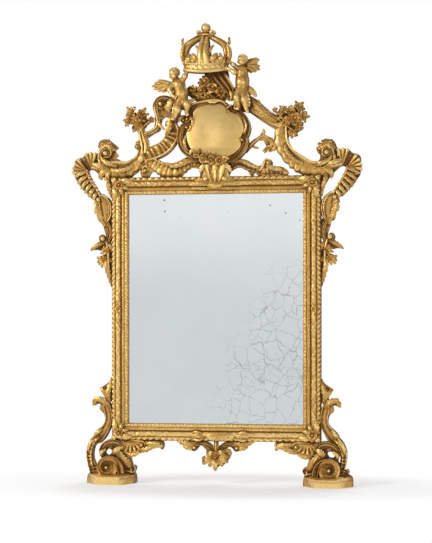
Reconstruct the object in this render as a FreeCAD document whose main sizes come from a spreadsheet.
"""Carved giltwood pier mirror: a mitred frame on two scrolled feet, with a pierced crest and a crown.

Millimetres. +Z is up, the front faces -Y, and the origin lies on the floor midway between the two plinths.
Carved pieces are drawn as outlines on a carver's pattern and padded from their back plane to the front.
Crest outlines are measured from the middle of the frame's top edge. Side outlines are measured outwards
from the outer face of a stile, and from the frame's top edge downwards or its bottom edge upwards.
"""
import FreeCAD, Part
import math
import os

V = FreeCAD.Vector
DOC = FreeCAD.newDocument("giltwood_mirror")

# Driving dimensions, each written once
SIZES = {
    # Frame
    "frame_width": 816, "frame_height": 1024, "frame_depth": 60, "foot_height": 166,
    "gadroon_width": 14, "fillet_width": 3, "panel_width": 20, "groove_width": 4, "flat_width": 13,
    "sight_width": 13, "gadroon_back": 30, "gadroon_crest": 12, "fillet_depth": 17, "panel_edge": 13,
    "panel_crest": 5, "groove_depth": 17, "flat_depth": 13, "sight_crest": 8, "sight_edge": 16,
    # Plate and back
    "glass_seat": 22, "glass_thickness": 4, "rebate_width": 12, "plate_clearance": 2,
    "board_rebate": 10, "board_thickness": 12, "board_gap": 0.5, "block_length": 60, "block_edge": 40,
    "nail_radius": 1.5, "nail_head_radius": 4, "nail_head_height": 1.5, "nail_length": 24, "nail_edge": 60,
    # Hanging rings
    "hanger_drop": 160, "pocket_width": 34, "pocket_inset": 5.5, "pocket_depth": 14, "pocket_above": 46,
    "pocket_below": 50, "hanger_width": 20, "hanger_rise": 38, "hanger_thickness": 2, "barrel_radius": 4.5,
    "barrel_length": 14, "pivot_height": 8, "ring_wire_radius": 2, "pin_clearance": 0.3, "ring_width": 26,
    "ring_straight": 12, "ring_corner": 5, "screw_radius": 1.8, "screw_head_radius": 3.5,
    "screw_head_height": 1.5, "screw_length": 18, "screw_spacing": 14, "first_screw": 14,
    # Carvings
    "pattern_unit": 1, "crest_setback": 12, "base_thickness": 30, "scroll_thickness": 32,
    "cartouche_thickness": 34, "cartouche_rim": 16, "cartouche_dome": 22, "flower_thickness": 14,
    "spray_setback": 24, "spray_thickness": 30, "shell_thickness": 26, "rose_thickness": 40,
    "ribbon_thickness": 30, "twig_thickness": 22, "cap_thickness": 38, "ear_setback": 14,
    "ear_thickness": 34, "pendant_thickness": 30, "lower_thickness": 34, "apron_thickness": 34,
    "apron_shell_thickness": 46,
    "overlay_front": 3, "overlay_depth": 20, "wing_setback": 36, "wing_thickness": 9,
    # Crown
    "crown_offset": -34, "crown_base": 401, "crown_half_width": 88, "crown_half_depth": 44,
    "crown_wall": 8, "crown_band_height": 35, "crown_arch_top": 545, "arch_thickness": 14, "orb_radius": 18,
    "collar_radius": 15, "collar_height": 12, "fleuron_radius": 9, "fleuron_height": 18,
    "brace_width": 60, "brace_rise": 240, "brace_foot": 40, "brace_screw_rise": 168, "stay_width": 24,
    "stay_thickness": 4, "orb_sink": 3.6,
    # Feet
    "stand_depth": 120, "plinth_width": 190, "plinth_base": 24, "plinth_height": 42, "plinth_inset": 12,
    "plinth_front_inset": 34, "cant_width": 50, "cant_depth": 70, "plinth_outset": 5,
    "left_foot_shift": -4, "right_foot_shift": 22, "foot_setback": 10, "foot_thickness": 54,
    "volute_radius": 36, "volute_thickness": 84, "foot_scroll_thickness": 46, "bracket_thickness": 44,
    # Dowels
    "dowel_radius": 4, "dowel_length": 30, "dowel_setback": 26,
}
SHEET = DOC.addObject("Spreadsheet::Sheet", "Sizes")
for row, (alias, value) in enumerate(SIZES.items(), 1):
    SHEET.set("A%d" % row, alias)
    SHEET.set("B%d" % row, str(value))
    SHEET.setAlias("B%d" % row, alias)
DOC.recompute()


def size(name):
    """One driving dimension, read from the sheet."""
    return float(SHEET.get(name))


def cells(text):
    """An expression over the sheet: every driving dimension named in the text gets the sheet's name."""
    words = text.replace("(", " ( ").replace(")", " ) ").split()
    return " ".join("Sizes." + word if word in SIZES else word for word in words)


# Places that several pieces share
UNIT = size("pattern_unit")
HALF_WIDTH = size("frame_width") / 2
FRAME_TOP = size("foot_height") + size("frame_height")
BACK = size("stand_depth") / 2
FRONT = BACK - size("frame_depth")
BANDS = ("gadroon", "fillet", "panel", "groove", "flat", "sight")
SECTION_WIDTH = sum(size(band + "_width") for band in BANDS)
FOOT_PATTERN_HEIGHT = 124
FOOT_UNIT = (size("foot_height") - size("plinth_height")) / FOOT_PATTERN_HEIGHT
SIDES = {"left": -1, "right": 1}
TOP = "foot_height + frame_height"
BOTTOM = "foot_height"
CREST_BACK = "stand_depth / 2 - crest_setback"
CREST_FRONT_PLANE = BACK - size("crest_setback") - size("scroll_thickness")
NODES = {}
SEATS = {}


def keep(label, item, seat=None):
    """Registers a finished piece by its file's name, with the solid that its neighbours are cut back to."""
    item.Label = label
    NODES[label] = item
    SEATS[label] = seat or item
    return item


def plane_of(body, role):
    """One of the body's own origin planes."""
    return next(feature for feature in body.Origin.OriginFeatures if feature.Role == role)


def new_sketch(body, name, role):
    """An empty sketch on one of the body's origin planes."""
    sketch = body.newObject("Sketcher::SketchObject", name)
    sketch.AttachmentSupport = (plane_of(body, role), [""])
    sketch.MapMode = "FlatFace"
    return sketch


def smooth(sketch, points):
    """A closed smooth curve through the points."""
    curve = Part.BSplineCurve()
    curve.interpolate(Points=[V(x, z, 0) for x, z in points], PeriodicFlag=True)
    sketch.addGeometry(curve, False)


def leafy(sketch, points):
    """A closed run of straight edges, for pointed leaves and square work."""
    for (x0, z0), (x1, z1) in zip(points, points[1:] + points[:1]):
        sketch.addGeometry(Part.LineSegment(V(x0, z0, 0), V(x1, z1, 0)), False)


def place(item, x, y, z):
    """Binds the item's position to three expressions over the sheet."""
    for axis, text in zip("xyz", (x, y, z)):
        item.setExpression("Placement.Base." + axis, cells(text))


def pad(body, sketch, length):
    """A pad of the sketch, its length bound to an expression over the sheet."""
    feature = body.newObject("PartDesign::Pad", sketch.Name + "_pad")
    feature.Profile = sketch
    feature.setExpression("Length", cells(length))
    return feature


def carved_blank(name, x, z, back, layers):
    """A body of padded outlines. Each layer is a drawing function, its closed outlines and a thickness."""
    body = DOC.addObject("PartDesign::Body", name + "_blank")
    place(body, x, back, z)
    for index, (draw, outlines, thickness) in enumerate(layers):
        sketch = new_sketch(body, "%s_outline_%d" % (name, index), "XZ_Plane")
        for outline in outlines:
            draw(sketch, outline)
        pad(body, sketch, thickness)
    return body


def box(name, corner, lengths):
    """A box whose corner and lengths are expressions over the sheet."""
    item = DOC.addObject("Part::Box", name)
    place(item, *corner)
    for side, text in zip(("Length", "Width", "Height"), lengths):
        item.setExpression(side, cells(text))
    return item


def rod(name, start, direction, radius, height):
    """A cylinder from a start point along a direction, its radius and height bound to the sheet."""
    item = DOC.addObject("Part::Cylinder", name)
    item.setExpression("Radius", cells(radius))
    item.setExpression("Height", cells(height))
    item.Placement = FreeCAD.Placement(start, FreeCAD.Rotation(V(0, 0, 1), direction))
    return item


def group(name, items):
    """Separate solids kept together as one piece list entry."""
    item = DOC.addObject("Part::Compound", name)
    item.Links = items
    return item


def fuse(name, items):
    """One solid from several that overlap."""
    item = DOC.addObject("Part::MultiFuse", name)
    item.Shapes = items
    return item


def cut(name, base, tools):
    """The base with its neighbours taken out of it, so that the pieces meet face to face."""
    item = DOC.addObject("Part::Cut", name)
    item.Base = base
    item.Tool = tools[0] if len(tools) == 1 else group(name + "_tools", tools)
    return item


def crest(points):
    """Crest outline on the pattern, in millimetres."""
    return [(x * UNIT, z * UNIT) for x, z in points]


def side_outline(points, side, shift=0.0):
    """Side outline for one side: outwards is left or right, and what is below the frame follows the foot."""
    return [(side * (out * UNIT + shift), z * (UNIT if z > 0 else FOOT_UNIT)) for out, z in points]


def hanging_outline(points, side):
    """Side outline measured down from the frame's top edge."""
    return [(side * out * UNIT, z * UNIT) for out, z in points]


# Dowels between the carvings and what carries them, listed by the piece that they hold
DOWELS = {}


def dowel(name, x, z, direction):
    """One dowel, centred on a joint."""
    middle = V(x, BACK - size("dowel_setback"), z)
    start = middle - direction * (size("dowel_length") / 2)
    return rod(name, start, direction, "dowel_radius", "dowel_length")


def make_dowels():
    """Upright dowels under the crest, the bottom rail and the feet, and level ones in the stiles."""
    up, across = V(0, 0, 1), V(1, 0, 0)
    crest_places = {"crest_left_scroll": -385, "crest_base_left": -180, "crest_base_right": 240,
                    "crest_right_scroll": 385}
    apron_places = {"apron_left": -105, "apron_right": 105}
    pendant_places = (-120, -200)
    lower_place = 75
    bracket_place = -110
    plinth_places = (-35, 20)
    for piece, x in crest_places.items():
        DOWELS[piece] = [dowel(piece + "_dowel", x * UNIT, FRAME_TOP, up)]
    for piece, x in apron_places.items():
        DOWELS[piece] = [dowel(piece + "_dowel", x * UNIT, size("foot_height"), up)]
    for name, side in SIDES.items():
        edge = side * HALF_WIDTH
        shift = size(name + "_foot_shift")
        lower_z = size("foot_height") + lower_place * UNIT
        bracket_x = edge + side * (bracket_place * UNIT + shift)
        DOWELS[name + "_pendant"] = [dowel(name + "_pendant_dowel", edge, FRAME_TOP + z * UNIT, across)
                                     for z in pendant_places]
        DOWELS[name + "_lower"] = [dowel(name + "_lower_dowel", edge, lower_z, across)]
        DOWELS[name + "_bracket"] = [dowel(name + "_bracket_dowel", bracket_x, size("foot_height"), up)]
        DOWELS[name + "_plinth"] = [dowel(name + "_plinth_dowel", edge + side * (out * UNIT + shift),
                                          size("plinth_height"), up) for out in plinth_places]
    keep("carving_dowels", group("carving_dowels_group", sum(DOWELS.values(), [])))


# Screws and nails, driven from the back
def screw(name, x, head_back, z):
    """A round-headed screw pointing to the front, its head standing on the face at head_back."""
    forward = V(0, -1, 0)
    head_top = V(x, head_back + size("screw_head_height"), z)
    head = rod(name + "_head", head_top, forward, "screw_head_radius", "screw_head_height")
    shank = rod(name + "_shank", head_top, forward, "screw_radius", "screw_length")
    return fuse(name, [head, shank])


def hanger_place(side):
    """Pivot of a hanging ring: x across the stile, y of the barrel and z below the frame's top."""
    x = side * (HALF_WIDTH - size("pocket_inset") - size("pocket_width") / 2)
    y = BACK - size("pocket_depth") + size("pivot_height")
    return V(x, y, FRAME_TOP - size("hanger_drop"))


def make_screws():
    """Two screws in each hanger plate, two in the crest brace and two in the crown stay."""
    items = []
    for name, side in SIDES.items():
        pivot = hanger_place(side)
        face = BACK - size("pocket_depth") + size("hanger_thickness")
        for step in range(2):
            z = pivot.z + size("first_screw") + step * size("screw_spacing")
            items.append(screw("%s_hanger_screw_%d" % (name, step), pivot.x, face, z))
    sunk_face = BACK - size("screw_head_height")
    crown_x = size("crown_offset") * UNIT
    for z in (FRAME_TOP - size("brace_foot") / 2, FRAME_TOP + size("brace_screw_rise")):
        items.append(screw("brace_screw", crown_x, sunk_face, z))
    stay_face = BACK - size("crest_setback") + size("stay_thickness")
    band_middle = (size("crown_base") + size("crown_band_height") / 2) * UNIT
    cartouche_height = size("brace_rise") + size("stay_width")
    for z in (cartouche_height, band_middle):
        items.append(screw("stay_screw", crown_x, stay_face, FRAME_TOP + z))
    keep("back_screws", group("back_screws_group", items))


def make_nails():
    """Nails round the backboards, through the boards into the ledge of the rebate."""
    inset = SECTION_WIDTH - size("rebate_width") - size("board_rebate") / 2
    across = HALF_WIDTH - inset
    low = size("foot_height") + inset
    high = FRAME_TOP - inset
    edge = size("nail_edge")
    plank = (2 * HALF_WIDTH - 2 * inset) / 3
    places = []
    for step in range(4):
        z = low + edge + step * (high - low - 2 * edge) / 3
        places += [(-across, z), (across, z)]
    for step in (-1, 0, 1):
        for offset in (-plank / 4, plank / 4):
            places += [(step * plank + offset, low), (step * plank + offset, high)]
    forward = V(0, -1, 0)
    nails = []
    for index, (x, z) in enumerate(places):
        top = V(x, BACK, z)
        head = rod("nail_%d_head" % index, top, forward, "nail_head_radius", "nail_head_height")
        shank = rod("nail_%d_shank" % index, top, forward, "nail_radius", "nail_length")
        nails.append(fuse("nail_%d" % index, [head, shank]))
    keep("backboard_nails", group("backboard_nails_group", nails))


# Frame
def moulding_profile(sketch):
    """Section of the frame: s runs from the outer edge inwards, d from the front plane to the back."""
    s_gadroon = size("gadroon_width")
    s_fillet = s_gadroon + size("fillet_width")
    s_panel = s_fillet + size("panel_width")
    s_groove = s_panel + size("groove_width")
    s_flat = s_groove + size("flat_width")
    s_glass = SECTION_WIDTH - size("rebate_width")
    s_board = s_glass - size("board_rebate")
    depth = size("frame_depth")
    board_seat = depth - size("board_thickness")
    arc_of_roll = math.sqrt(0.5)
    roll_height = size("gadroon_back") - size("gadroon_crest")
    outer = V(0, depth, 0)
    roll_start = V(0, size("gadroon_back"), 0)
    roll_middle = V(s_gadroon * (1 - arc_of_roll), size("gadroon_back") - roll_height * arc_of_roll, 0)
    roll_end = V(s_gadroon, size("gadroon_crest"), 0)
    panel_start = V(s_fillet, size("panel_edge"), 0)
    panel_middle = V((s_fillet + s_panel) / 2, size("panel_crest"), 0)
    panel_end = V(s_panel, size("panel_edge"), 0)
    sight_start = V(s_flat, size("flat_depth"), 0)
    sight_middle = V((s_flat + SECTION_WIDTH) / 2, size("sight_crest"), 0)
    sight_end = V(SECTION_WIDTH, size("sight_edge"), 0)
    sketch.addGeometry(Part.LineSegment(outer, roll_start), False)
    sketch.addGeometry(Part.Arc(roll_start, roll_middle, roll_end), False)
    fillet = size("fillet_depth")
    run = [roll_end, V(s_gadroon, fillet, 0), V(s_fillet, fillet, 0), panel_start]
    for start, end in zip(run, run[1:]):
        sketch.addGeometry(Part.LineSegment(start, end), False)
    sketch.addGeometry(Part.Arc(panel_start, panel_middle, panel_end), False)
    run = [panel_end, V(s_panel, size("groove_depth"), 0), V(s_groove, size("groove_depth"), 0)]
    run += [V(s_groove, size("flat_depth"), 0), sight_start]
    for start, end in zip(run, run[1:]):
        sketch.addGeometry(Part.LineSegment(start, end), False)
    sketch.addGeometry(Part.Arc(sight_start, sight_middle, sight_end), False)
    run = [sight_end, V(SECTION_WIDTH, size("glass_seat"), 0), V(s_glass, size("glass_seat"), 0)]
    run += [V(s_glass, board_seat, 0), V(s_board, board_seat, 0), V(s_board, depth, 0), outer]
    for start, end in zip(run, run[1:]):
        sketch.addGeometry(Part.LineSegment(start, end), False)


def frame_member(name, length, length_cell, corner, turn):
    """A mitred length of moulding: it runs along its own Z, with its outer edge on its own Z axis."""
    body = DOC.addObject("PartDesign::Body", name + "_blank")
    profile = new_sketch(body, name + "_profile", "XY_Plane")
    moulding_profile(profile)
    pad(body, profile, length_cell)
    mitre = new_sketch(body, name + "_mitre", "XZ_Plane")
    past = 2 * SECTION_WIDTH
    leafy(mitre, [(0, 0), (past, past), (past, -past), (-past, -past)])
    leafy(mitre, [(0, length), (past, length - past), (past, length + past), (-past, length + past)])
    pocket = body.newObject("PartDesign::Pocket", name + "_mitres")
    pocket.Profile = mitre
    pocket.Type = "ThroughAll"
    pocket.Midplane = True
    body.Placement = FreeCAD.Placement(corner, FreeCAD.Rotation(V(0, 1, 0), turn))
    return body


def make_frame():
    """Four mitred members, with the hanger pockets and the seat of the crest brace cut in their backs."""
    width, height = size("frame_width"), size("frame_height")
    low = size("foot_height")
    shared = [NODES["back_screws"], NODES["backboard_nails"]]
    for name, side in SIDES.items():
        start_z = "foot_height + frame_height - hanger_drop - pocket_below"
        if side > 0:
            left_edge, corner_z, turn = "frame_width / 2 - pocket_inset - pocket_width", FRAME_TOP, 180
        else:
            left_edge, corner_z, turn = "pocket_inset - frame_width / 2", low, 0
        recess = box(name + "_hanger_pocket", (left_edge, "stand_depth / 2 - pocket_depth", start_z),
                     ("pocket_width", "pocket_depth", "pocket_above + pocket_below"))
        node = "frame_%s_stile" % name
        stile = frame_member(node, height, "frame_height", V(side * width / 2, FRONT, corner_z), turn)
        pins = DOWELS[name + "_pendant"] + DOWELS[name + "_lower"]
        keep(node, cut(node + "_cut", stile, [recess] + pins + shared), stile)
    seat = box("brace_seat", ("crown_offset * pattern_unit - brace_width / 2", CREST_BACK,
                              TOP + " - brace_foot"), ("brace_width", "crest_setback", "brace_foot"))
    top = frame_member("frame_top_rail", width, "frame_width", V(-width / 2, FRONT, FRAME_TOP), 90)
    pins = sum((DOWELS[piece] for piece in DOWELS if piece.startswith("crest")), [])
    keep("frame_top_rail", cut("frame_top_rail_cut", top, [seat] + pins + shared), top)
    bottom = frame_member("frame_bottom_rail", width, "frame_width", V(width / 2, FRONT, low), -90)
    held = ("apron_left", "apron_right", "left_bracket", "right_bracket")
    pins = sum((DOWELS[piece] for piece in held), [])
    keep("frame_bottom_rail", cut("frame_bottom_rail_cut", bottom, pins + shared), bottom)


def make_plate():
    """Mirror plate in the glass rebate, and the blocks glued in the rebate behind it."""
    inset = " - ".join(["frame_width"] + ["2 * %s_width" % band for band in BANDS])
    tall = inset.replace("frame_width", "frame_height", 1)
    spare = " + 2 * ( rebate_width - plate_clearance )"
    y = "stand_depth / 2 - frame_depth + glass_seat"
    wide_text, tall_text = inset + spare, tall + spare
    plate_corner = ("- ( %s ) / 2" % wide_text, y, BOTTOM + " + ( frame_height - ( %s ) ) / 2" % tall_text)
    keep("mirror_plate", box("mirror_plate_box", plate_corner, (wide_text, "glass_thickness", tall_text)))
    depth = "frame_depth - board_thickness - glass_seat - glass_thickness"
    back_of_glass = y + " + glass_thickness"
    sight_left = HALF_WIDTH - SECTION_WIDTH
    rebate = size("rebate_width")
    sight_low = size("foot_height") + SECTION_WIDTH
    sight_high = FRAME_TOP - SECTION_WIDTH
    length, edge = size("block_length"), size("block_edge")
    blocks = []
    for side in SIDES.values():
        for z in (sight_low + edge, (sight_low + sight_high - length) / 2, sight_high - edge - length):
            x = side * (sight_left + rebate / 2) - rebate / 2
            blocks.append(box("side_block", (str(x), back_of_glass, str(z)),
                              ("rebate_width", depth, "block_length")))
        for z in (sight_low - rebate, sight_high):
            x = side * (sight_left - edge - length / 2) - length / 2
            blocks.append(box("end_block", (str(x), back_of_glass, str(z)),
                              ("block_length", depth, "rebate_width")))
    keep("glazing_blocks", group("glazing_blocks_group", blocks))


def make_backboards():
    """Three upright planks in the back rebate, nailed."""
    inset = SECTION_WIDTH - size("rebate_width") - size("board_rebate")
    gap = size("board_gap")
    span = size("frame_width") - 2 * inset
    plank = (span - 4 * gap) / 3
    height = size("frame_height") - 2 * inset - 2 * gap
    low = size("foot_height") + inset + gap
    for index in range(3):
        x = -span / 2 + gap + index * (plank + gap)
        node = "backboard_plank_%d" % (index + 1)
        board = box(node + "_box", (str(x), "stand_depth / 2 - board_thickness", str(low)),
                    (str(plank), "board_thickness", str(height)))
        keep(node, cut(node + "_cut", board, [NODES["backboard_nails"]]))


def make_hangers():
    """Iron plates with a barrel in the stile pockets, and the rings whose straight bar turns in them."""
    plates = []
    bore_radius = "ring_wire_radius + pin_clearance"
    for name, side in SIDES.items():
        pivot = hanger_place(side)
        x = str(pivot.x)
        floor = "stand_depth / 2 - pocket_depth"
        pivot_z = TOP + " - hanger_drop"
        leaf = box(name + "_hanger_leaf", (x + " - hanger_width / 2", floor, pivot_z + " - barrel_radius"),
                   ("hanger_width", "hanger_thickness", "hanger_rise + barrel_radius"))
        web = box(name + "_hanger_web", (x + " - barrel_length / 2", floor, pivot_z + " - barrel_radius"),
                  ("barrel_length", "pivot_height", "2 * barrel_radius"))
        start = pivot - V(size("barrel_length") / 2, 0, 0)
        barrel = rod(name + "_hanger_barrel", start, V(1, 0, 0), "barrel_radius", "barrel_length")
        bore_start = pivot - V(size("hanger_width"), 0, 0)
        bore = rod(name + "_hanger_bore", bore_start, V(1, 0, 0), bore_radius, "2 * hanger_width")
        solid = fuse(name + "_hanger_solid", [leaf, web, barrel])
        plates.append(cut(name + "_hanger", solid, [bore, NODES["back_screws"]]))
        keep(name + "_hanging_ring", hanging_ring(name, pivot))
    keep("hanger_plates", group("hanger_plates_group", plates))


def hanging_ring(name, pivot):
    """A D-shaped ring hanging from its straight bar: round wire swept along lines and arcs."""
    half, corner, straight = size("ring_width") / 2, size("ring_corner"), size("ring_straight")
    body = DOC.addObject("PartDesign::Body", name + "_ring_body")
    path = new_sketch(body, name + "_ring_path", "XZ_Plane")
    bend = corner * (1 - math.sqrt(0.5))
    right_run = [V(0, 0, 0), V(half - corner, 0, 0), V(half, -corner, 0), V(half, -straight, 0)]
    left_run = [V(-p.x, p.y, 0) for p in right_run]
    path.addGeometry(Part.LineSegment(right_run[0], right_run[1]), False)
    path.addGeometry(Part.Arc(right_run[1], V(half - bend, -bend, 0), right_run[2]), False)
    path.addGeometry(Part.LineSegment(right_run[2], right_run[3]), False)
    path.addGeometry(Part.Arc(right_run[3], V(0, -straight - half, 0), left_run[3]), False)
    path.addGeometry(Part.LineSegment(left_run[3], left_run[2]), False)
    path.addGeometry(Part.Arc(left_run[2], V(bend - half, -bend, 0), left_run[1]), False)
    path.addGeometry(Part.LineSegment(left_run[1], left_run[0]), False)
    wire = new_sketch(body, name + "_ring_wire", "YZ_Plane")
    wire.addGeometry(Part.Circle(V(0, 0, 0), V(0, 0, 1), size("ring_wire_radius")), False)
    pipe = body.newObject("PartDesign::AdditivePipe", name + "_ring_pipe")
    pipe.Profile = wire
    pipe.Spine = path
    body.Placement = FreeCAD.Placement(pivot, FreeCAD.Rotation())
    return body


def make_overlays():
    """Carvings laid on the moulding: a flower at each corner, a clasp above and a raised panel below."""
    corner = [(4, 4), (30, 3), (62, 8), (80, 14), (60, 26), (44, 30), (42, 44), (30, 42), (26, 60),
              (14, 80), (8, 62), (3, 30)]
    clasp = [(-100, -30), (-60, -20), (0, -26), (60, -20), (100, -30), (60, -44), (0, -50), (-60, -44)]
    raised_panel = [(-92, 20), (-60, 34), (20, 38), (100, 34), (135, 20), (100, 6), (20, 2), (-60, 6)]
    back = "stand_depth / 2 - frame_depth + overlay_depth"
    thickness = "overlay_depth + overlay_front"
    members = [SEATS["frame_" + name] for name in ("top_rail", "bottom_rail", "left_stile", "right_stile")]
    blanks = []
    for side in SIDES.values():
        for level, z in ((1, BOTTOM), (-1, TOP)):
            outline = [(-side * u * UNIT, level * v * UNIT) for u, v in corner]
            blanks.append(carved_blank("corner_flower", "%d * frame_width / 2" % side, z, back,
                                       [(leafy, [outline], thickness)]))
    for name, z, outline in (("top_clasp", TOP, clasp), ("bottom_panel", BOTTOM, raised_panel)):
        blanks.append(carved_blank(name, "0", z, back, [(smooth, [crest(outline)], thickness)]))
    pieces = [cut(blank.Name + "_seated", blank, members) for blank in blanks]
    keep("frame_overlays", group("frame_overlays_group", pieces))


# Crest
def crest_piece(name, layers, neighbours, back=CREST_BACK):
    """A carved crest piece, cut back to the neighbours that it meets."""
    blank = carved_blank(name, "0", TOP, back, layers)
    tools = [SEATS[other] for other in neighbours] + DOWELS.get(name, [])
    return keep(name, cut(name + "_seated", blank, tools))


def make_crest_rails():
    """Scrolls along the foot of the crest, standing on the top rail."""
    left_scroll = [(-464, 106), (-468, 75), (-456, 47), (-444, 23), (-420, -2), (-384, -4), (-352, -3),
                   (-326, 10), (-304, 27), (-292, 52), (-272, 72), (-272, 103), (-292, 127),
                   (-312, 137), (-320, 124), (-302, 111), (-304, 92), (-332, 71), (-364, 65),
                   (-392, 78), (-408, 90), (-412, 113), (-432, 128), (-452, 122)]
    base_left = [(-272, 70), (-248, 75), (-224, 67), (-196, 57), (-161, 56), (-137, 66), (-109, 79),
                 (-78, 84), (-50, 68), (-40, 37), (-46, -4), (-56, 20), (-78, 35), (-101, 34),
                 (-121, 19), (-141, -4), (-216, -4), (-224, 16), (-240, 26), (-256, 16), (-268, -3),
                 (-288, 0), (-296, 29), (-288, 54)]
    right_scroll = [(463, 106), (471, 67), (467, 37), (444, 8), (405, -4), (351, -3), (305, 22),
                    (266, 59), (239, 94), (226, 126), (228, 156), (239, 183), (259, 195), (282, 190),
                    (290, 171), (282, 144), (290, 113), (313, 82), (344, 60), (382, 53), (402, 61),
                    (405, 88), (425, 107)]
    base_right = [(40, 51), (72, 62), (99, 68), (126, 59), (150, 46), (173, 39), (189, 53), (204, 64),
                  (220, 56), (222, 40), (245, 36), (268, 30), (282, 14), (276, -4), (204, -4),
                  (177, -3), (154, 17), (142, 0), (130, 11), (119, 27), (95, 35), (68, 29), (52, 12),
                  (46, -6), (32, -6), (36, 20)]
    base = ["frame_top_rail", "frame_left_stile", "frame_right_stile", "frame_overlays"]
    crest_piece("crest_base_left", [(smooth, [crest(base_left)], "base_thickness")], base)
    crest_piece("crest_left_scroll", [(smooth, [crest(left_scroll)], "scroll_thickness")],
                base + ["crest_base_left"])
    crest_piece("crest_right_scroll", [(smooth, [crest(right_scroll)], "scroll_thickness")], base)
    crest_piece("crest_base_right", [(smooth, [crest(base_right)], "base_thickness")],
                base + ["crest_right_scroll"])


def make_cartouche():
    """Shaped panel with a raised rim and a plain convex field, and the flowers at its foot."""
    shield = [(-101, 256), (-85, 279), (-45, 291), (-6, 296), (37, 288), (61, 272), (96, 244),
              (123, 216), (135, 185), (127, 154), (131, 131), (115, 100), (88, 69), (53, 50), (-6, 40),
              (-65, 56), (-108, 80), (-136, 120), (-142, 163), (-132, 198), (-116, 221), (-112, 240)]
    field_middle, field_half = (3, 172), (107, 105)
    flowers = [(-88, 90), (-64, 100), (-34, 86), (0, 80), (32, 74), (52, 62), (32, 46), (0, 43),
               (-40, 52), (-76, 66)]
    neighbours = ["crest_base_left", "crest_base_right", "back_screws"]
    blank = carved_blank("cartouche", "0", TOP, CREST_BACK,
                         [(smooth, [crest(shield)], "cartouche_thickness")])
    rim = new_sketch(blank, "cartouche_rim_outline", "XZ_Plane")
    smooth(rim, crest(shield))
    field = Part.Ellipse(V(field_middle[0] * UNIT, field_middle[1] * UNIT, 0), field_half[0] * UNIT,
                         field_half[1] * UNIT)
    rim.addGeometry(field, False)
    pad(blank, rim, "cartouche_thickness + cartouche_rim")
    dome = DOC.addObject("Part::Ellipsoid", "cartouche_dome")
    dome.setExpression("Radius1", cells("cartouche_dome"))
    dome.Radius2 = field_half[0] * UNIT
    dome.Radius3 = field_half[1] * UNIT
    dome.Angle1 = 0
    front = BACK - size("crest_setback") - size("cartouche_thickness")
    dome.Placement = FreeCAD.Placement(V(field_middle[0] * UNIT, front, FRAME_TOP + field_middle[1] * UNIT),
                                       FreeCAD.Rotation(V(1, 0, 0), 90))
    whole = fuse("cartouche_whole", [blank, dome])
    keep("cartouche", cut("cartouche_seated", whole, [NODES[name] for name in neighbours]))
    rim_front = CREST_BACK + " - cartouche_thickness - cartouche_rim"
    crest_piece("cartouche_flowers", [(smooth, [crest(flowers)], "flower_thickness")],
                ["cartouche"], rim_front)


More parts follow.
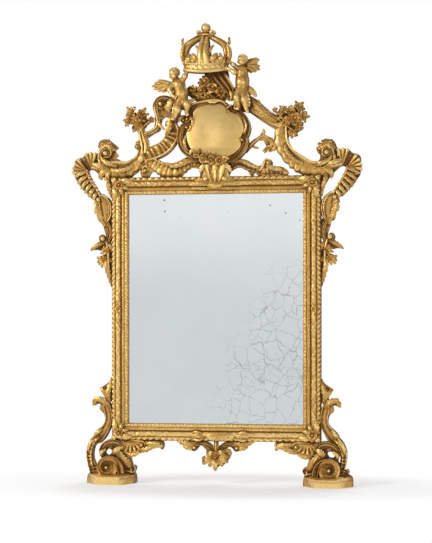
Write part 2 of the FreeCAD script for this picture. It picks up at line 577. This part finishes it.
def make_crest_upper():
    """Left ribbed and upper scrolls, right branch, twig, flower sprays, caps, shell, roses and ribbon."""
    ribbed = [(-276, 64), (-228, 73), (-188, 94), (-161, 125), (-144, 160), (-146, 195), (-162, 222),
              (-184, 226), (-198, 204), (-190, 180), (-200, 157), (-228, 132), (-260, 119), (-274, 103)]
    upper = [(-244, 259), (-246, 287), (-228, 310), (-196, 317), (-165, 308), (-145, 285), (-141, 253),
             (-153, 216), (-184, 211), (-192, 235), (-204, 233), (-214, 212), (-220, 184), (-244, 171),
             (-276, 158), (-282, 174), (-256, 183), (-240, 204), (-238, 232)]
    trunk = [(-298, 98), (-268, 102), (-262, 137), (-270, 161), (-278, 184), (-286, 204), (-302, 202),
             (-310, 189), (-302, 169), (-300, 145), (-306, 122)]
    left_spray = [(-338, 270), (-322, 256), (-314, 236), (-298, 243), (-274, 256), (-272, 231),
                  (-262, 223), (-242, 229), (-242, 217), (-266, 213), (-274, 192), (-302, 196),
                  (-310, 185), (-326, 177), (-330, 197), (-322, 209), (-342, 209), (-350, 221),
                  (-334, 232)]
    branch = [(119, 321), (146, 301), (177, 274), (204, 254), (235, 232), (266, 243), (274, 225),
              (263, 198), (243, 179), (216, 188), (185, 212), (158, 231), (130, 246), (105, 250),
              (84, 258), (99, 314)]
    right_spray = [(256, 259), (279, 258), (294, 246), (306, 265), (325, 275), (337, 271), (325, 253),
                   (325, 234), (345, 232), (360, 220), (337, 215), (329, 203), (337, 176), (321, 167),
                   (310, 154), (298, 146), (284, 160), (268, 177), (260, 201), (272, 220), (268, 235)]
    twig = [(119, 112), (142, 139), (169, 154), (185, 177), (193, 157), (212, 137), (236, 110),
            (208, 103), (189, 88), (181, 99), (197, 114), (185, 138), (165, 138), (142, 115), (119, 89)]
    left_cap = [(-459, 122), (-461, 144), (-441, 153), (-417, 147), (-397, 131), (-385, 119),
                (-397, 107), (-385, 91), (-405, 80), (-425, 100), (-440, 112)]
    right_cap = [(400, 82), (391, 102), (406, 120), (422, 139), (441, 137), (460, 127), (466, 104),
                 (456, 82), (428, 92)]
    shell = [(-42, 41), (1, 52), (44, 40), (52, 9), (56, -14), (37, -20), (1, -29), (-34, -19),
             (-50, -13), (-46, 10)]
    roses = [(-112, 342), (-97, 353), (-69, 348), (-61, 372), (-38, 392), (-14, 386), (6, 362),
             (29, 350), (45, 326), (41, 299), (17, 288), (2, 280), (-38, 280), (-57, 282), (-85, 300),
             (-108, 318)]
    ribbon = [(-22, 404), (49, 404), (53, 377), (64, 345), (80, 318), (68, 295), (41, 299), (25, 331),
              (0, 370)]
    scroll = "scroll_thickness"
    spray_back = "stand_depth / 2 - spray_setback"
    front_of_base = CREST_BACK + " - base_thickness"
    crest_piece("crest_ribbed_scroll", [(smooth, [crest(ribbed)], scroll)],
                ["crest_left_scroll", "crest_base_left", "cartouche"])
    crest_piece("crest_upper_scroll", [(smooth, [crest(upper)], scroll)],
                ["crest_ribbed_scroll", "cartouche"])
    crest_piece("left_flower_spray", [(smooth, [crest(trunk)], "spray_thickness"),
                                      (leafy, [crest(left_spray)], "spray_thickness")],
                ["crest_left_scroll", "crest_ribbed_scroll", "crest_upper_scroll"], spray_back)
    crest_piece("crest_right_branch", [(smooth, [crest(branch)], scroll)],
                ["crest_right_scroll", "cartouche"])
    crest_piece("right_flower_spray", [(leafy, [crest(right_spray)], "spray_thickness")],
                ["crest_right_scroll", "crest_right_branch"], spray_back)
    crest_piece("crest_right_twig", [(leafy, [crest(twig)], "twig_thickness")],
                ["crest_right_scroll", "cartouche"])
    crest_piece("left_flower_cap", [(smooth, [crest(left_cap)], "cap_thickness")], ["crest_left_scroll"])
    crest_piece("right_flower_cap", [(smooth, [crest(right_cap)], "cap_thickness")], ["crest_right_scroll"])
    crest_piece("crest_shell", [(smooth, [crest(shell)], "shell_thickness")],
                ["cartouche", "cartouche_flowers", "frame_top_rail", "frame_overlays"], front_of_base)
    crest_piece("crest_roses", [(smooth, [crest(roses)], "rose_thickness")], ["cartouche", "back_screws"])
    crest_piece("crown_ribbon", [(smooth, [crest(ribbon)], "ribbon_thickness")],
                ["crest_roses", "cartouche", "crown_band"])


def make_crown():
    """Oval band with upright leaves, four arches meeting under a collar, and the orb."""
    x, z = "crown_offset * pattern_unit", TOP + " + crown_base * pattern_unit"
    y = CREST_BACK + " - crown_half_depth * pattern_unit"
    half_width, half_depth = size("crown_half_width") * UNIT, size("crown_half_depth") * UNIT
    wall = size("crown_wall")
    band_height = size("crown_band_height") * UNIT
    arch_top = (size("crown_arch_top") - size("crown_base")) * UNIT
    body = DOC.addObject("PartDesign::Body", "crown_band_body")
    place(body, x, y, z)
    ring = new_sketch(body, "crown_band_ring", "XY_Plane")
    ring.addGeometry(Part.Ellipse(V(0, 0, 0), half_width, half_depth), False)
    ring.addGeometry(Part.Ellipse(V(0, 0, 0), half_width - wall, half_depth - wall), False)
    pad(body, ring, "crown_band_height * pattern_unit")
    leaves = [body]
    centre = V(size("crown_offset") * UNIT, BACK - size("crest_setback") - half_depth,
               FRAME_TOP + size("crown_base") * UNIT)
    for angle in (-130, -50, 50, 130):
        turn = math.radians(angle)
        leaf = DOC.addObject("Part::Ellipsoid", "crown_fleuron")
        leaf.setExpression("Radius1", cells("fleuron_height * pattern_unit"))
        leaf.setExpression("Radius2", cells("fleuron_radius * pattern_unit"))
        leaf.Radius3 = wall / 2
        leaf.Placement.Base = centre + V((half_width - wall / 2) * math.cos(turn),
                                         (half_depth - wall / 2) * math.sin(turn), band_height)
        leaves.append(leaf)
    whole = fuse("crown_band_whole", leaves)
    keep("crown_band", cut("crown_band_seated", whole, [NODES["back_screws"]]))
    arches = DOC.addObject("PartDesign::Body", "crown_arches_body")
    place(arches, x, y, z)
    over = [(0.99, 0.0), (1.06, 0.38), (0.98, 0.68), (0.55, 0.84), (0.16, 0.93), (0.16, 1.0)]
    under = [(0.0, 0.84), (0.3, 0.79), (0.78, 0.62), (0.9, 0.38), (0.82, 0.0)]
    rise = arch_top - band_height
    for name, role, half in (("side", "XZ_Plane", half_width), ("front", "YZ_Plane", half_depth)):
        sketch = new_sketch(arches, "crown_%s_arches" % name, role)
        top_line = [(half * u, band_height + rise * v) for u, v in over]
        low_line = [(half * u, band_height + rise * v) for u, v in under]
        left_top = [(-u, v) for u, v in reversed(top_line)]
        left_low = [(-u, v) for u, v in reversed(low_line[1:])]
        leafy(sketch, top_line + left_top + left_low + low_line)
        pad(arches, sketch, "arch_thickness").Midplane = True
    keep("crown_arches", cut("crown_arches_seated", arches, [NODES["crown_band"]]))
    top = V(centre.x, centre.y, FRAME_TOP + size("crown_arch_top") * UNIT)
    collar = rod("orb_collar", top, V(0, 0, 1), "collar_radius * pattern_unit",
                 "collar_height * pattern_unit")
    ball = DOC.addObject("Part::Sphere", "orb_ball")
    ball.setExpression("Radius", cells("orb_radius * pattern_unit"))
    rise = size("collar_height") + size("orb_radius") - size("orb_sink")
    ball.Placement.Base = top + V(0, 0, rise * UNIT)
    keep("crown_orb", fuse("crown_orb_whole", [collar, ball]))


def make_crown_support():
    """Upright brace let into the back of the top rail, and the iron stay above it that holds the crown."""
    x = "crown_offset * pattern_unit"
    screws = [NODES["back_screws"]]
    brace = box("crest_brace_box", (x + " - brace_width / 2", CREST_BACK, TOP + " - brace_foot"),
                ("brace_width", "crest_setback", "brace_foot + brace_rise"))
    keep("crest_brace", cut("crest_brace_bored", brace, screws))
    stay = box("crown_stay_box", (x + " - stay_width / 2", CREST_BACK, TOP + " + brace_rise"),
               ("stay_width", "stay_thickness",
                "( crown_base + crown_band_height ) * pattern_unit - brace_rise"))
    keep("crown_stay", cut("crown_stay_bored", stay, screws))


# Putti
def limb(name, start, end, start_radius, end_radius):
    """A tapered limb with rounded ends between two points."""
    swell = 1.02
    axis = end - start
    shaft = DOC.addObject("Part::Cone", name)
    shaft.Radius1, shaft.Radius2, shaft.Height = start_radius, end_radius, axis.Length
    shaft.Placement = FreeCAD.Placement(start, FreeCAD.Rotation(V(0, 0, 1), axis))
    items = [shaft]
    for point, radius in ((start, start_radius), (end, end_radius)):
        ball = DOC.addObject("Part::Sphere", name + "_end")
        ball.Radius = radius * swell
        ball.Placement.Base = point
        items.append(ball)
    return items


def putto(name, head, chain_list, wing_outlines, neighbours):
    """A small figure of rounded limbs. Each chain is a run of points with a radius, on the pattern."""
    def spot(x, y, z):
        return V(x * UNIT, CREST_FRONT_PLANE + y * UNIT, FRAME_TOP + z * UNIT)
    hx, hy, hz, head_radius = head
    skull = DOC.addObject("Part::Sphere", name + "_head")
    skull.Radius = head_radius * UNIT
    skull.Placement.Base = spot(hx, hy, hz)
    items = [skull]
    for number, chain in enumerate(chain_list):
        for step, (first, second) in enumerate(zip(chain, chain[1:])):
            items += limb("%s_limb_%d_%d" % (name, number, step), spot(*first[:3]), spot(*second[:3]),
                          first[3] * UNIT, second[3] * UNIT)
    figure = fuse(name + "_whole", items)
    keep(name, cut(name + "_seated", figure, [NODES[other] for other in neighbours]))
    wings = carved_blank(name + "_wings", "0", TOP, "stand_depth / 2 - wing_setback",
                         [(smooth, [crest(outline)], "wing_thickness") for outline in wing_outlines])
    keep(name + "_wings", cut(name + "_wings_seated", wings, [NODES[name], NODES["crown_band"]]))


def make_putti():
    """The two figures beside the crown, each resting on a scroll and holding the band."""
    left_chains = [
        [(-152, -10, 380, 10), (-142, -10, 356, 19), (-128, -8, 322, 22), (-130, -6, 292, 25)],
        [(-128, -16, 362, 10), (-118, -26, 380, 9), (-108, -28, 400, 8)],
        [(-156, -16, 356, 10), (-168, -22, 330, 9), (-158, -30, 306, 8)],
        [(-126, -14, 290, 16), (-136, -24, 254, 12), (-152, -22, 226, 8)],
        [(-114, -14, 294, 15), (-92, -24, 310, 12), (-80, -22, 286, 8)],
    ]
    left_wing = [(-146, 346), (-162, 366), (-182, 380), (-210, 374), (-240, 356), (-214, 354),
                 (-190, 344), (-166, 332)]
    putto("left_putto", (-158, -16, 400, 21), left_chains, [left_wing],
          ["crest_upper_scroll", "crest_ribbed_scroll", "cartouche", "crest_roses", "crown_band",
           "crown_arches"])
    right_chains = [
        [(107, -14, 424, 9), (104, -10, 398, 18), (107, -8, 356, 21), (104, -6, 330, 24)],
        [(90, -16, 404, 9), (74, -24, 422, 8), (58, -18, 432, 8)],
        [(92, -18, 388, 9), (78, -28, 396, 8), (58, -30, 406, 8)],
        [(108, -14, 324, 15), (113, -26, 284, 12), (122, -22, 248, 8)],
        [(92, -16, 320, 14), (78, -28, 296, 11), (84, -24, 268, 8)],
    ]
    right_wing = [(114, 402), (128, 420), (150, 434), (174, 442), (166, 426), (152, 418), (176, 408),
                  (178, 398), (150, 396), (128, 390)]
    putto("right_putto", (109, -20, 444, 19), right_chains, [right_wing],
          ["crest_right_branch", "cartouche", "crest_roses", "crown_ribbon", "crown_band", "crown_arches"])


# Sides and feet
def make_sides():
    """Ribbed ears at the top corners and the flower pendants below them, against the stiles."""
    ear = [(14, 34), (40, 60), (62, 72), (82, 93), (101, 100), (119, 85), (144, 76), (153, 58),
           (148, 32), (150, 5), (136, -18), (122, -38), (100, -62), (82, -80), (56, -81), (46, -63),
           (70, -38), (84, -8), (97, 20), (88, 34), (60, 20), (34, 4), (12, 14)]
    corner_leaf = [(38, 16), (28, -16), (16, -36), (8, -56), (4, -79), (-3, -70), (-3, -24), (-3, -3),
                   (12, 14)]
    leaf = [(60, -79), (66, -104), (69, -126), (56, -145), (54, -166), (38, -178), (24, -184),
            (14, -168), (-2, -140), (-3, -105), (14, -80), (42, -62)]
    hook = [(28, -170), (32, -205), (26, -230), (38, -220), (52, -228), (51, -248), (36, -262),
            (16, -250), (0, -225), (-3, -193), (8, -164)]
    drop = [(40, -250), (64, -258), (84, -281), (60, -280), (46, -284), (32, -282), (32, -299),
            (54, -307), (62, -331), (36, -327), (24, -343), (20, -366), (12, -394), (0, -426),
            (-3, -400), (-3, -268), (10, -246), (30, -248)]
    back = "stand_depth / 2 - ear_setback"
    for name, side in SIDES.items():
        x = "%d * frame_width / 2" % side
        stile = SEATS["frame_%s_stile" % name]
        blank = carved_blank(name + "_ear", x, TOP, back,
                             [(smooth, [hanging_outline(ear, side)], "ear_thickness"),
                              (smooth, [hanging_outline(corner_leaf, side)], "ear_thickness")])
        tools = [stile] + [SEATS[other] for other in ("frame_top_rail", "frame_overlays",
                                                      "crest_%s_scroll" % name, name + "_flower_cap")]
        keep(name + "_ear", cut(name + "_ear_seated", blank, tools))
        blank = carved_blank(name + "_pendant", x, TOP, back,
                             [(smooth, [hanging_outline(leaf, side)], "pendant_thickness"),
                              (smooth, [hanging_outline(hook, side)], "pendant_thickness"),
                              (leafy, [hanging_outline(drop, side)], "pendant_thickness")])
        tools = [stile, SEATS[name + "_ear"]] + DOWELS[name + "_pendant"]
        keep(name + "_pendant", cut(name + "_pendant_seated", blank, tools))


def make_plinth(name, side):
    """Canted plinth block on the floor, with a lower step in front of the volute."""
    body = DOC.addObject("PartDesign::Body", name + "_plinth_body")
    middle = "%d * ( frame_width / 2 + plinth_outset + %s_foot_shift )" % (side, name)
    place(body, middle, "0", "0")
    half, back = size("plinth_width") / 2, size("stand_depth") / 2
    cant_x, cant_y = size("cant_width"), size("cant_depth")
    inset, front_inset = size("plinth_inset"), size("plinth_front_inset")
    plan = [(-half, back), (-half, cant_y - back), (cant_x - half, -back), (half - cant_x, -back),
            (half, cant_y - back), (half, back)]
    step = [(inset - half, back), (inset - half, cant_y + front_inset / 2 - back),
            (cant_x - half, front_inset - back), (half - cant_x, front_inset - back),
            (half - inset, cant_y + front_inset / 2 - back), (half - inset, back)]
    for level, outline, height in (("base", plan, "plinth_base"), ("step", step, "plinth_height")):
        sketch = new_sketch(body, "%s_plinth_%s" % (name, level), "XY_Plane")
        leafy(sketch, outline)
        pad(body, sketch, height)
    keep(name + "_plinth", cut(name + "_plinth_bored", body, DOWELS[name + "_plinth"]), body)


def make_feet():
    """Plinths, foot scrolls with their volutes, brackets, outer scrolls and the scrolls above them."""
    foot = [(45, -48), (41, -25), (21, -7), (-7, 1), (-34, 1), (-66, -62), (-54, -86), (-58, -105),
            (-82, -117), (-86, -127), (-30, -127), (58, -127), (53, -103), (33, -79), (45, -68)]
    opening = [(31, -64), (29, -44), (17, -34), (3, -40), (9, -56), (21, -69)]
    volute_middle = (13, -106)
    bracket = [(-20, -8), (-50, 2), (-90, 3), (-130, 3), (-165, 3), (-191, 2), (-201, -22), (-193, -36),
               (-183, -19), (-168, -27), (-140, -33), (-112, -49), (-76, -61), (-38, -60), (-20, -38)]
    outer = [(60, 24), (84, 4), (98, -27), (99, -60), (92, -90), (84, -127), (60, -127), (70, -82),
             (74, -52), (64, -20), (46, 0)]
    lower = [(40, 166), (64, 154), (71, 134), (58, 140), (48, 140), (50, 122), (36, 106), (29, 92),
             (28, 72), (38, 52), (56, 42), (67, 29), (71, 13), (48, -4), (26, 8), (10, 38), (-3, 74),
             (-3, 113), (6, 140), (22, 160)]
    spray = [(0, 244), (16, 223), (44, 205), (40, 195), (24, 189), (28, 170), (40, 150), (-3, 150),
             (-3, 233)]
    rail = SEATS["frame_bottom_rail"]
    for name, side in SIDES.items():
        make_plinth(name, side)
        plinth, stile = SEATS[name + "_plinth"], SEATS["frame_%s_stile" % name]
        shift = size(name + "_foot_shift")
        x = "%d * frame_width / 2" % side
        foot_back = "stand_depth / 2 - foot_setback"
        ear_back = "stand_depth / 2 - ear_setback"
        outlines = [side_outline(points, side, shift) for points in (foot, opening)]
        blank = carved_blank(name + "_foot", x, BOTTOM, foot_back, [(smooth, outlines, "foot_thickness")])
        volute = new_sketch(blank, name + "_foot_volute", "XZ_Plane")
        (volute_x, volute_z), = side_outline([volute_middle], side, shift)
        volute.addGeometry(Part.Circle(V(volute_x, volute_z, 0), V(0, 0, 1), size("volute_radius")), False)
        pad(blank, volute, "volute_thickness")
        tools = [plinth, rail, stile] + DOWELS[name + "_plinth"]
        foot_piece = keep(name + "_foot_scroll", cut(name + "_foot_seated", blank, tools))
        blank = carved_blank(name + "_lower", x, BOTTOM, ear_back,
                             [(smooth, [side_outline(lower, side)], "lower_thickness"),
                              (leafy, [side_outline(spray, side)], "lower_thickness")])
        tools = [stile, rail, foot_piece] + DOWELS[name + "_lower"]
        lower_piece = keep(name + "_lower_scroll", cut(name + "_lower_seated", blank, tools))
        blank = carved_blank(name + "_outer", x, BOTTOM, ear_back,
                             [(smooth, [side_outline(outer, side)], "foot_scroll_thickness")])
        tools = [plinth, foot_piece, lower_piece]
        keep(name + "_foot_outer_scroll", cut(name + "_outer_seated", blank, tools))
        blank = carved_blank(name + "_bracket", x, BOTTOM, foot_back,
                             [(smooth, [side_outline(bracket, side, shift)], "bracket_thickness")])
        tools = [rail, foot_piece] + DOWELS[name + "_bracket"]
        keep(name + "_foot_bracket", cut(name + "_bracket_seated", blank, tools))


def make_apron():
    """Two scrolls under the bottom rail and the shell that hangs between them."""
    left = [(-141, 3), (-116, -14), (-96, -36), (-80, -39), (-68, -27), (-56, -18), (-41, -29),
            (-29, -37), (-13, -25), (-33, -6), (-52, 3), (-96, 3)]
    right = [(153, 3), (131, -15), (112, -26), (92, -36), (77, -39), (69, -30), (57, -22), (30, -32),
             (18, -21), (38, -5), (57, 3), (106, 3)]
    shell = [(-35, -28), (-35, -55), (-51, -71), (-51, -90), (-27, -82), (-12, -86), (0, -113),
             (12, -97), (35, -89), (55, -66), (63, -46), (55, -31), (31, -27), (10, -16), (10, 3),
             (-6, 3), (-6, -18), (-20, -20)]
    back = "stand_depth / 2 - ear_setback"
    carriers = [SEATS["frame_bottom_rail"], SEATS["frame_overlays"]]
    scrolls = []
    for name, outline in (("left", left), ("right", right)):
        blank = carved_blank("apron_" + name, "0", BOTTOM, back,
                             [(smooth, [crest(outline)], "apron_thickness")])
        scrolls.append(cut("apron_%s_seated" % name, blank, carriers + DOWELS["apron_" + name]))
    pair = keep("apron_scrolls", group("apron_scrolls_group", scrolls))
    blank = carved_blank("apron_shell", "0", BOTTOM, back,
                         [(leafy, [crest(shell)], "apron_shell_thickness")])
    keep("apron_shell", cut("apron_shell_seated", blank, [pair] + carriers))


def check_and_write():
    """Stops on any failed object or bad shape, then writes one file per piece."""
    DOC.recompute()
    failed = [item.Name for item in DOC.Objects if "Invalid" in item.State or "Error" in item.State]
    if failed:
        raise RuntimeError("failed objects: " + ", ".join(failed))
    for label, item in NODES.items():
        if item.Shape.isNull() or not item.Shape.isValid() or not item.Shape.Solids:
            raise RuntimeError("bad shape: " + label)
    os.makedirs("parts", exist_ok=True)
    for label, item in NODES.items():
        item.Shape.exportStep("parts/%s.step" % label)
        print(label, len(item.Shape.Solids), round(item.Shape.Volume))
    print(len(NODES), "pieces")


make_dowels()
make_screws()
make_nails()
make_frame()
make_plate()
make_backboards()
make_hangers()
make_overlays()
make_crest_rails()
make_cartouche()
make_crown()
make_crest_upper()
make_crown_support()
make_putti()
make_sides()
make_feet()
make_apron()
check_and_write()
